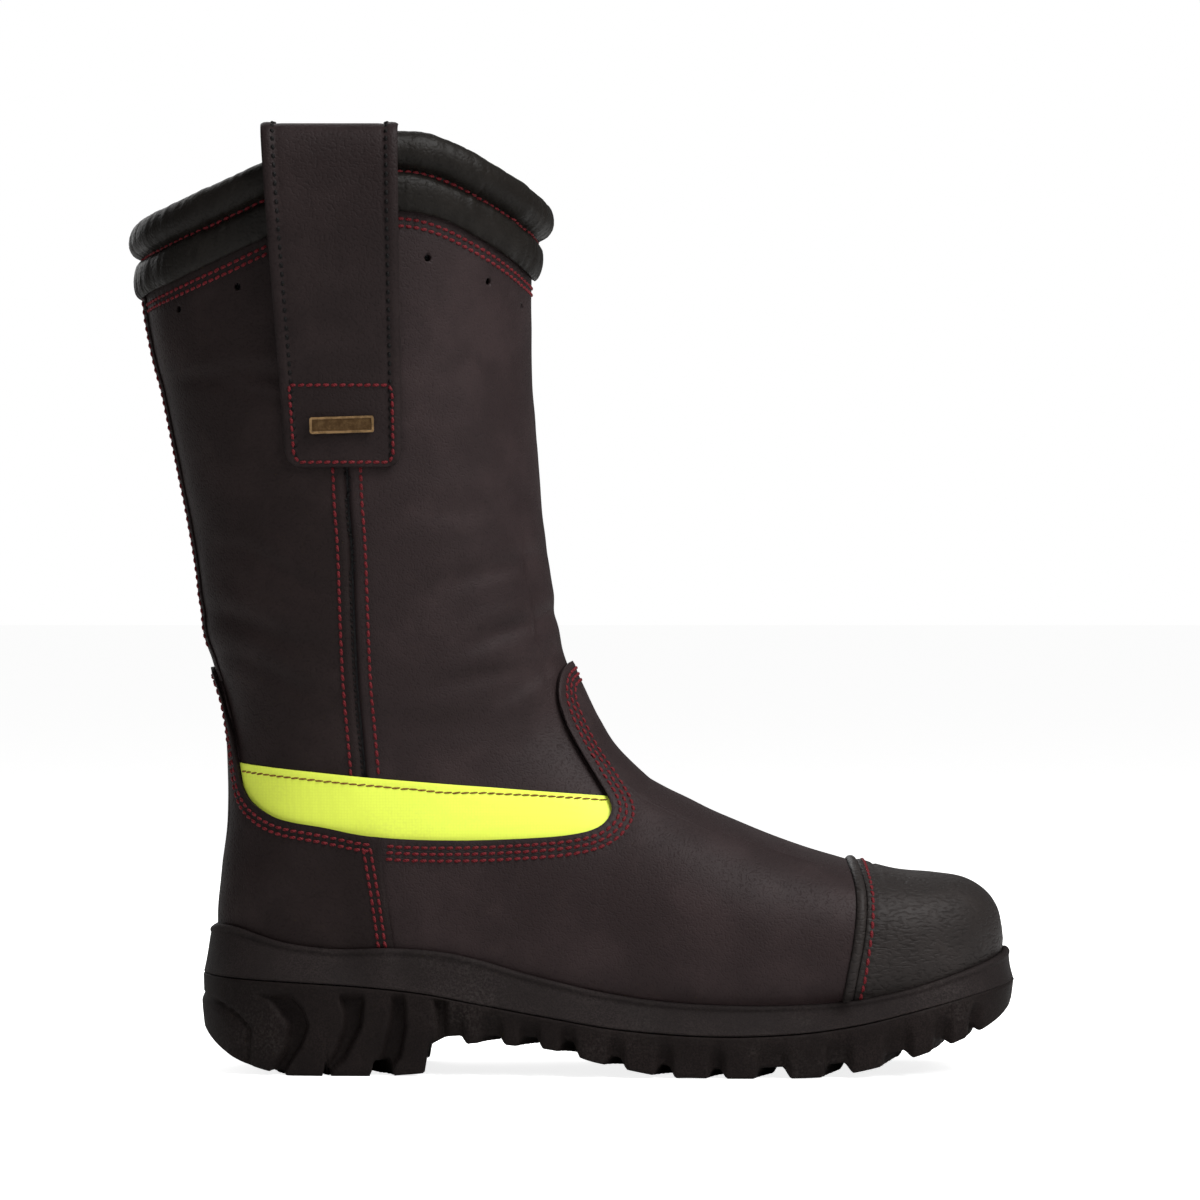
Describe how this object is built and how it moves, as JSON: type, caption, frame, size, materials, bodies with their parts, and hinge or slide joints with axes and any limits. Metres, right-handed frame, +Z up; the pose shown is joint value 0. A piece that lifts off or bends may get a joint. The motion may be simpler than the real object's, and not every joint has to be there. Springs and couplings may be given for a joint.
{
  "type": "fire boot",
  "caption": "Pull-on leather fire boot, right foot, with padded collar, pull straps, hi-vis ankle tape, steel toe cap and lugged rubber sole; the leg flexes and the footbed lifts",
  "frame": {"origin": "On the ground, under the centre of the boot's bounding box", "axes": "+X points to the toe, +Z is up, and the outer side of this right boot faces -Y"},
  "size_m": [0.3364, 0.138, 0.3567],
  "materials": {
    "outsole_rubber": "moulded, fine blasted texture",
    "midsole_foam": "moulded foam with a skin",
    "steel": "plain",
    "fibre_board": "pressed fibre",
    "boot_leather": "waxed full grain, dark brown",
    "guard_leather": "coated, pebble grain",
    "collar_leather": "soft, smooth, nearly black",
    "lining_cloth": "knitted lining with membrane",
    "hi_vis": "fluorescent yellow",
    "foam": "open-cell padding",
    "footbed_felt": "felt over foam",
    "brass": "satin"
  },
  "bodies": {
    "foot": {"outsole": "outsole_rubber", "midsole": "midsole_foam", "shank": "steel", "insole_board": "fibre_board", "puncture_plate": "steel", "vamp": "boot_leather", "counter_cover": "boot_leather", "toe_guard": "guard_leather", "toe_guard_edge": "guard_leather", "toe_cap": "steel", "heel_stiffener": "fibre_board", "foot_lining": "lining_cloth"},
    "leg": {"leg_front_panel": "boot_leather", "leg_rear_panel_outer": "boot_leather", "leg_rear_panel_inner": "boot_leather", "back_strip": "boot_leather", "seam_backing_outer": "lining_cloth", "seam_backing_inner": "lining_cloth", "leg_lining": "lining_cloth", "collar_cover": "collar_leather", "collar_foam_upper": "foam", "collar_foam_lower": "foam", "hi_vis_tape_outer": "hi_vis", "hi_vis_tape_inner": "hi_vis", "pull_strap_outer": "boot_leather", "pull_strap_inner": "boot_leather", "badge_plate": "brass"},
    "footbed": {"footbed": "footbed_felt"}
  },
  "joints": [
    {"name": "ankle_flex", "type": "hinge", "parent": "foot", "child": "leg", "pos_m": [-0.0662, 0, 0.1157], "axis": [0, 1, 0], "range_deg": [0, 15], "stiffness_Nm_per_rad": 8, "deforming": ["vamp", "counter_cover"]},
    {"name": "footbed_lift", "type": "hinge", "parent": "foot", "child": "footbed", "pos_m": [0.1556, 0, 0.047], "axis": [0, 1, 0], "range_deg": [0, 10]}
  ]
}
